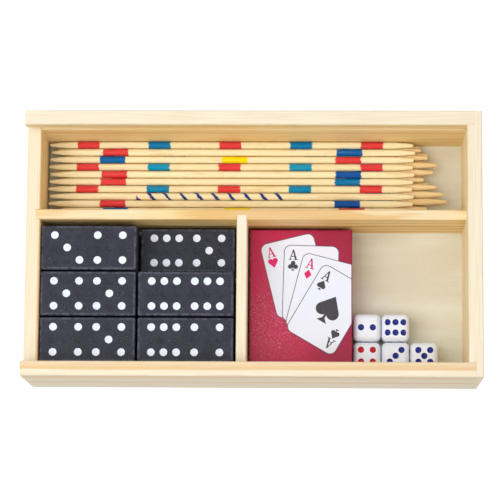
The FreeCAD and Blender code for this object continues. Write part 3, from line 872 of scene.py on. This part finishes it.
def cutter_mesh(bm, paints):
    """A mesh that cuts dimples, each with its own paint."""
    bmesh.ops.recalc_face_normals(bm, faces=bm.faces[:])
    return to_mesh("cutter", bm, paints)


def cut_plane(bm, x, **options):
    """Cuts a whole bmesh across X."""
    return bmesh.ops.bisect_plane(
        bm, geom=bm.verts[:] + bm.edges[:] + bm.faces[:], plane_co=(x, 0, 0),
        plane_no=(1, 0, 0), **options,
    )


class GAMESBOX_OT_tray(bpy.types.Operator):
    """Gives each board of the tray its own pine, and the floor its plywood"""
    bl_idname = "gamesbox.tray"
    bl_label = "Finish the tray"

    def execute(self, context):
        look = context.scene.gamesbox_tray
        paint_node("base_panel", plywood(look))
        for node, board in BOARDS.items():
            paint_node(node, pine(node, look, board))
        return {"FINISHED"}


class GAMESBOX_OT_dominoes(bpy.types.Operator):
    """Makes the domino tiles, with painted and unpainted pips on both halves"""
    bl_idname = "gamesbox.dominoes"
    bl_label = "Make the dominoes"

    def execute(self, context):
        look = context.scene.gamesbox_dominoes
        body = lacquer("black_lacquer", look, 0.0)
        # Unpainted dimples get lacquer darkened as painted shade
        paints = (lacquer("black_lacquer_dimple_shade", look, 0.1),
                  pip_paint("white_pip_paint", look.pip_paint, 0.45))
        nodes = sorted(name for name in frame["nodes"] if name.startswith("domino_"))
        low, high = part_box(nodes[0])
        size = high - low - Vector((0, 0, look.air))
        blank = self.blank(look, size, body)
        for node in nodes:
            low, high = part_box(node)
            numbers = [int(number) for number in node.split("_")[1:]]
            mesh = carved(blank.copy(), self.pips(look, numbers, size.z / 2, paints))
            mesh.transform(Matrix.Translation((low + high) / 2))
            rubbed = mesh.attributes.new("rubbed", "FLOAT", "POINT")
            rubbed.data.foreach_set("value", [RUBBED_TILES.get(node, 0.0)] * len(mesh.vertices))
            tile = smooth_piece(f"{node}_tile", mesh)
            stand_for(tile, [node])
        return {"FINISHED"}

    def blank(self, look, size, material):
        """A tile without pips, with a shallow line across its middle."""
        bm = eased_block(size, look.ease, segments=3)
        mark_edges(bm)
        half = look.line_width / 2
        for cut in (-half, 0, half):
            cut_plane(bm, cut)
        bottom = [v for v in bm.verts if abs(v.co.x) < NEAR and v.co.z > size.z / 2 - NEAR]
        bmesh.ops.translate(bm, vec=(0, 0, -look.line_depth), verts=bottom)
        return to_mesh("tile_blank", bm, [material])

    def pips(self, look, numbers, top, paints):
        """The cutter for a tile: every cell has a dimple, and the pips have paint."""
        bm = bmesh.new()
        upright = Matrix.Identity(3)
        for side, number in zip((-1, 1), numbers):
            for column, row in CELLS:
                painted = (column, row) in TILE_PIPS[number]
                depth = look.pip_depth if painted else look.blind_depth
                x = side * look.half_offset + column * look.pip_pitch
                spot = (x, row * look.pip_pitch, top)
                dimple(bm, spot, upright, look.pip_radius, depth, int(painted))
        return cutter_mesh(bm, paints)


class GAMESBOX_OT_dice(bpy.types.Operator):
    """Makes the dice, with dimpled pips on every face"""
    bl_idname = "gamesbox.dice"
    bl_label = "Make the dice"

    def execute(self, context):
        look = context.scene.gamesbox_dice
        paints = (pip_paint("blue_pip_paint", look.blue, 0.25),
                  pip_paint("red_pip_paint", look.red, 0.25))
        plastic = dice_plastic(look)
        for node, up in DICE.items():
            low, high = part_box(node)
            cube = eased_block(high - low, look.rounding, segments=6)
            cutter = self.pips(look, up, (high - low).z / 2, paints)
            mesh = carved(to_mesh("die_blank", cube, [plastic]), cutter)
            mesh.transform(Matrix.Translation((low + high) / 2))
            die = smooth_piece(f"{node}_cube", mesh, sharp=24)
            stand_for(die, [node])
        return {"FINISHED"}

    def pips(self, look, up, half, paints):
        """The cutter for a die that lies with one number up."""
        bm = bmesh.new()
        upright = DIE_TURNS[up].inverted()
        for number, face in DIE_TURNS.items():
            turn = upright @ face
            paint = int(number in RED_FACES)
            for column, row in DIE_PIPS[number]:
                flat = Vector((column * look.pip_pitch, row * look.pip_pitch, half))
                dimple(bm, turn @ flat, turn, look.pip_radius, look.pip_depth, paint)
        return cutter_mesh(bm, paints)


class GAMESBOX_OT_sticks(bpy.types.Operator):
    """Makes the pick-up sticks, each kind with its own painted bands"""
    bl_idname = "gamesbox.sticks"
    bl_label = "Make the pick-up sticks"

    pitch = 3.2 * MM
    row_rise = math.sqrt(0.75)
    first_seat = Vector((-88.5, 17.375, 4.75)) * MM
    slide = 21 * MM
    sides = 14
    # Part of the long point's length, and the part of its girth that it has there
    swell = (0.4, 0.8)
    # How far each tip's rim is rounded, and the part of its radius that stays flat
    fine_rim = (0.3 * MM, 0.85)
    blunt_rim = (0.6 * MM, 0.7)
    merge = 0.005 * MM

    def execute(self, context):
        look = context.scene.gamesbox_sticks
        for kind, node in STICK_NODES.items():
            bm = bmesh.new()
            tone = bm.verts.layers.float.new("tone")
            along = bm.loops.layers.uv.new("along_stick")
            for row, (letters, shares) in enumerate(zip(STICK_ROWS, STICK_SLIDE_SHARES)):
                for seat, (letter, share) in enumerate(zip(letters, shares)):
                    if letter == kind:
                        spot = self.spot(row, seat, share)
                        # The rows under the top one are browned as painted shade
                        tint_and_shade = LOWER_SHADE_TONE if row < TOP_ROW else TOP_TONES[seat]
                        self.stick(bm, look, spot, tone, along, tint_and_shade)
            mesh = to_mesh(f"{node}_set", bm, [bamboo(kind, look)])
            piece = smooth_piece(f"{node}_set", mesh, sharp=50)
            stand_for(piece, [node])
        return {"FINISHED"}

    def spot(self, row, seat, share):
        """The fine end of a stick that lies in the hollows of the row below."""
        across = (seat + 0.5 * (row % 2)) * self.pitch
        up = row * self.pitch * self.row_rise
        return self.first_seat + Vector((share * self.slide, across, up))

    def stick(self, bm, look, spot, tone, along, tint_and_shade):
        """One stick, turned from its outline and laid along X."""
        whole = look.stick_length
        (swell_length, swell_girth), (fine_back, fine_flat) = self.swell, self.fine_rim
        blunt_back, blunt_flat = self.blunt_rim
        outline = (
            (0.0, 0.0), (0.0, look.fine_tip * fine_flat), (fine_back, look.fine_tip),
            (look.long_point * swell_length, look.radius * swell_girth),
            (look.long_point, look.radius), (whole - look.short_point, look.radius),
            (whole - blunt_back, look.blunt_tip), (whole, look.blunt_tip * blunt_flat),
            (whole, 0.0),
        )
        laid = set(bm.verts)
        verts = [bm.verts.new(spot + Vector((x, 0, r))) for x, r in outline]
        edges = [bm.edges.new(pair) for pair in zip(verts, verts[1:])]
        bmesh.ops.spin(
            bm, geom=verts + edges, cent=spot, axis=(1, 0, 0), angle=FULL_TURN,
            steps=self.sides, use_merge=True,
        )
        turned = [vert for vert in bm.verts if vert not in laid]
        bmesh.ops.remove_doubles(bm, verts=turned, dist=self.merge)
        faces = list({face for vert in turned if vert.is_valid for face in vert.link_faces})
        bmesh.ops.recalc_face_normals(bm, faces=faces)
        for face in faces:
            turns = []
            for loop in face.loops:
                loop.vert[tone] = tint_and_shade
                off = loop.vert.co - spot
                turns.append(math.atan2(off.z, off.y) / FULL_TURN % 1.0)
            seam = max(turns) - min(turns) > 0.5
            for loop, turn in zip(face.loops, turns):
                share = (loop.vert.co.x - spot.x) / whole
                loop[along].uv = (share, turn + 1 if seam and turn < 0.5 else turn)


class GAMESBOX_OT_cards(bpy.types.Operator):
    """Makes the card case with its printed fan of aces, and finishes the cards inside"""
    bl_idname = "gamesbox.cards"
    bl_label = "Make the card case"

    # How far each plate of a mark stands above the one before it, and a plate's thickness
    overlap = 0.002 * MM
    plate_depth = 0.05 * MM
    lobe_steps = 28
    # From a card's corner to the middle of its letter, across and down
    index_inset = Vector((4.0, -4.2)) * MM
    letter_height = 4.4 * MM
    # From the middle of a letter down to the mark under it, and that mark's height
    index_drop = 4.7 * MM
    index_mark = 4.2 * MM
    middle_mark = 11.6 * MM

    def execute(self, context):
        look = context.scene.gamesbox_cards
        self.case(look)
        self.printed_fan(look)
        paint_node("playing_card_deck", card_edges(look))
        return {"FINISHED"}

    def case(self, look):
        """The CAD case with its folded edges rounded and marked for wear."""
        low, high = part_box("card_case")

        def outer(edge):
            """Whether an edge lies on two sides of the case's box."""
            first, second = (vert.co for vert in edge.verts)
            return 2 <= sum(
                abs(first[axis] - end[axis]) < NEAR and abs(second[axis] - end[axis]) < NEAR
                for axis in range(3) for end in (low, high)
            )

        bm = bmesh.new()
        bm.from_mesh(frame["nodes"]["card_case"].data)
        bmesh.ops.remove_doubles(bm, verts=bm.verts, dist=NEAR)
        bmesh.ops.dissolve_limit(
            bm, angle_limit=math.radians(1), verts=bm.verts, edges=bm.edges, delimit=set()
        )
        bmesh.ops.bevel(
            bm, geom=[edge for edge in bm.edges if outer(edge)], offset=look.fold,
            offset_type="OFFSET", affect="EDGES", segments=3, profile=0.5, material=-1,
        )
        mark_edges(bm)
        mesh = to_mesh("card_case_sleeve", bm, [varnished_red(look)])
        case = smooth_piece("card_case_sleeve", mesh, sharp=40)
        stand_for(case, ["card_case"])

    def printed_fan(self, look):
        """The fan of cards, as thin layers of ink on the case's top."""
        inks = [ink("white_print", look.paper), ink("outline_print", look.line),
                ink("black_print", look.black), ink("red_print", look.red)]
        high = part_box("card_case")[1]
        corner = Vector((-look.card_width, look.card_height)) / 2 + self.index_inset
        bm = bmesh.new()
        for order, (suit, middle, degrees) in enumerate(FAN, start=1):
            level = order * look.layer
            mark_level = level + look.layer / 2
            paint = RED_INK if suit in RED_SUITS else BLACK_INK
            card = bmesh.new()
            self.blank_card(card, look, level)
            self.index(card, suit, corner, mark_level, paint, 0)
            if suit == "spade":
                self.index(card, suit, -corner, mark_level, paint, math.pi)
                self.suit(card, suit, (0, 0), self.middle_mark, mark_level, paint, 0)
            turn = Matrix.Rotation(math.radians(degrees), 4, "Z")
            spot = Matrix.Translation((middle[0] * MM, middle[1] * MM, high.z))
            bmesh.ops.transform(card, matrix=spot @ turn, verts=card.verts)
            self.trim(card, high.x - look.fold)
            layer = to_mesh("printed_card", card)
            bm.from_mesh(layer)
            bpy.data.meshes.remove(layer)
        fan = smooth_piece("card_case_print", to_mesh("card_case_print", bm, inks))
        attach(fan, body_of_node("card_case"))

    def trim(self, bm, edge):
        """Cuts the print off at the case's edge and closes the cut."""
        cut = cut_plane(bm, edge, clear_outer=True)
        rim = [part for part in cut["geom_cut"] if isinstance(part, bmesh.types.BMEdge)]
        if rim:
            bmesh.ops.edgeloop_fill(bm, edges=rim)

    def blank_card(self, bm, look, level):
        """A white card with a thin line round it."""
        bmesh.ops.create_grid(bm, x_segments=1, y_segments=1, size=0.5)
        bmesh.ops.scale(bm, vec=(look.card_width, look.card_height, 1), verts=bm.verts)
        bmesh.ops.bevel(
            bm, geom=bm.verts[:], offset=look.card_corner, offset_type="OFFSET",
            affect="VERTICES", segments=6, profile=0.5, material=-1,
        )
        bmesh.ops.translate(bm, vec=(0, 0, level), verts=bm.verts)
        grown = bmesh.ops.extrude_face_region(bm, geom=bm.faces[:])["geom"]
        bottom = [part for part in grown if isinstance(part, bmesh.types.BMVert)]
        bmesh.ops.translate(bm, vec=(0, 0, -level - look.layer), verts=bottom)
        bmesh.ops.recalc_face_normals(bm, faces=bm.faces[:])
        for part in bm.faces:
            part.material_index = LINE
        top = [part for part in bm.faces if part.normal.z > 0.9]
        bmesh.ops.inset_region(bm, faces=top, thickness=look.outline, use_even_offset=True)
        for part in top:
            part.material_index = PAPER

    def plate(self, bm, outline, level, paint, place):
        """A thin plate of ink with a convex outline."""
        verts = [
            bm.verts.new(place @ Vector((x, y, height)))
            for height in (level, level - self.plate_depth) for x, y in outline
        ]
        hull = bmesh.ops.convex_hull(bm, input=verts)
        for face in {part for part in hull["geom"] if isinstance(part, bmesh.types.BMFace)}:
            face.material_index = paint

    def lobe(self, centre, radius, *tip):
        """A round outline, drawn out to a tip if it has one."""
        turns = [FULL_TURN * step / self.lobe_steps for step in range(self.lobe_steps)]
        x, y = centre
        return [(x + radius * math.cos(t), y + radius * math.sin(t)) for t in turns] + [*tip]

    def placed(self, spot, turn, size):
        """The change from a mark of height one round the origin to its place on a card."""
        return (Matrix.Translation((*spot, 0)) @ Matrix.Rotation(turn, 4, "Z")
                @ Matrix.Diagonal((size, size, 1, 1)))

    def suit(self, bm, suit, spot, size, level, paint, turn):
        """A suit mark of this height round its middle."""
        outlines = {
            "heart": [self.lobe((side * 0.24, 0.22), 0.26, (0, -0.5)) for side in (-1, 1)],
            "diamond": [[(0, 0.5), (0.38, 0), (0, -0.5), (-0.38, 0)]],
            "club": [self.lobe(c, 0.235) for c in ((0, 0.26), (-0.27, -0.1), (0.27, -0.1))]
            + [*STEM, self.lobe((0, 0.02), 0.14)],
            "spade": [self.lobe((side * 0.22, -0.07), 0.23, (0, 0.55)) for side in (-1, 1)]
            + [*STEM],
        }
        place = self.placed(spot, turn, size)
        for order, outline in enumerate(outlines[suit]):
            self.plate(bm, outline, level + order * self.overlap, paint, place)

    def index(self, bm, suit, spot, level, paint, turn):
        """The letter of an ace with its suit mark under it."""
        place = self.placed(spot, turn, self.letter_height)
        for stroke in ACE_STROKES:
            self.plate(bm, stroke, level, paint, place)
        below = Matrix.Rotation(turn, 2) @ Vector((0, -self.index_drop))
        self.suit(bm, suit, spot + below, self.index_mark, level, paint, turn)


class GAMESBOX_OT_stage(bpy.types.Operator):
    """Sets the pale floor, the soft light and the camera"""
    bl_idname = "gamesbox.stage"
    bl_label = "Set the stage"

    def execute(self, context):
        look = context.scene.gamesbox_stage
        self.floor(look)
        self.light(context, look)
        camera = bpy.data.cameras.new("photo_camera")
        camera.sensor_width = FILM_WIDTH
        camera.lens = look.lens
        stand = new_object("photo_camera", camera)
        stand.location = look.stand
        stand.rotation_euler = look.aim
        context.scene.camera = stand
        context.scene.view_settings.view_transform = "Standard"
        return {"FINISHED"}

    def seen_directly(self, tree):
        """Whether a ray comes from the camera, a reflection or a clear piece."""
        path = add(tree, "LightPath").outputs
        seen = calc(tree, "MAXIMUM", path["Is Camera Ray"], path["Is Glossy Ray"])
        return calc(tree, "MAXIMUM", seen, path["Is Transmission Ray"])

    def floor(self, look):
        """A matt floor that looks white and keeps the tray's shadow."""
        bm = bmesh.new()
        bmesh.ops.create_grid(bm, x_segments=8, y_segments=8, size=FLOOR_REACH)
        material = bpy.data.materials.new("pale_floor")
        material.use_nodes = True
        tree = material.node_tree
        shader = tree.nodes["Principled BSDF"]
        matt = {"Base Color": look.floor, "Roughness": 0.9, "Specular IOR Level": 0.0,
                "Emission Color": WHITE}
        for socket, value in matt.items():
            shader.inputs[socket].default_value = value
        glow = times(tree, self.seen_directly(tree), look.floor_glow)
        feed(tree, shader.inputs["Emission Strength"], glow)
        floor = new_object("floor", to_mesh("floor", bm, [material]))

    def light(self, context, look):
        """An even surround that looks white, and the soft lamps turned to the tray."""
        world = bpy.data.worlds.new("soft_surround")
        world.use_nodes = True
        tree = world.node_tree
        background = tree.nodes["Background"]
        background.inputs["Color"].default_value = WHITE
        white = calc(tree, "MULTIPLY_ADD", self.seen_directly(tree), 1 - look.sky, look.sky)
        feed(tree, background.inputs["Strength"], white)
        context.scene.world = world
        for name, (place, power) in SOFT_BOXES.items():
            lamp = bpy.data.lights.new(name, "AREA")
            lamp.shape = "DISK"
            lamp.size = look.soft_box
            lamp.energy = power
            stand = new_object(name, lamp)
            stand.location = place
            stand.rotation_euler = (-stand.location).to_track_quat("-Z", "Y").to_euler()


class GAMESBOX_PT_panel(bpy.types.Panel):
    """Lists the steps that dress the games box"""
    bl_idname = "GAMESBOX_PT_panel"
    bl_label = "Games compendium box"
    bl_space_type = "VIEW_3D"
    bl_region_type = "UI"
    bl_category = "Games Box"

    def draw(self, context):
        for operator in OPERATORS:
            self.layout.operator(operator.bl_idname)


LOOKS = {
    "gamesbox_tray": TrayLook,
    "gamesbox_dominoes": DominoLook,
    "gamesbox_dice": DiceLook,
    "gamesbox_sticks": StickLook,
    "gamesbox_cards": CardLook,
    "gamesbox_stage": StageLook,
}
OPERATORS = (
    GAMESBOX_OT_stage,
    GAMESBOX_OT_tray,
    GAMESBOX_OT_dominoes,
    GAMESBOX_OT_dice,
    GAMESBOX_OT_sticks,
    GAMESBOX_OT_cards,
)


def register():
    for group in LOOKS.values():
        bpy.utils.register_class(group)
    for name, group in LOOKS.items():
        setattr(bpy.types.Scene, name, PointerProperty(type=group))
    for operator in OPERATORS:
        bpy.utils.register_class(operator)
    bpy.utils.register_class(GAMESBOX_PT_panel)


def unregister():
    bpy.utils.unregister_class(GAMESBOX_PT_panel)
    for operator in reversed(OPERATORS):
        bpy.utils.unregister_class(operator)
    for name in LOOKS:
        delattr(bpy.types.Scene, name)
    for group in reversed(LOOKS.values()):
        bpy.utils.unregister_class(group)


def main():
    """Dresses the whole box."""
    register()
    for operator in OPERATORS:
        getattr(bpy.ops.gamesbox, operator.bl_idname.split(".")[1])()


if __name__ == "__main__":
    main()
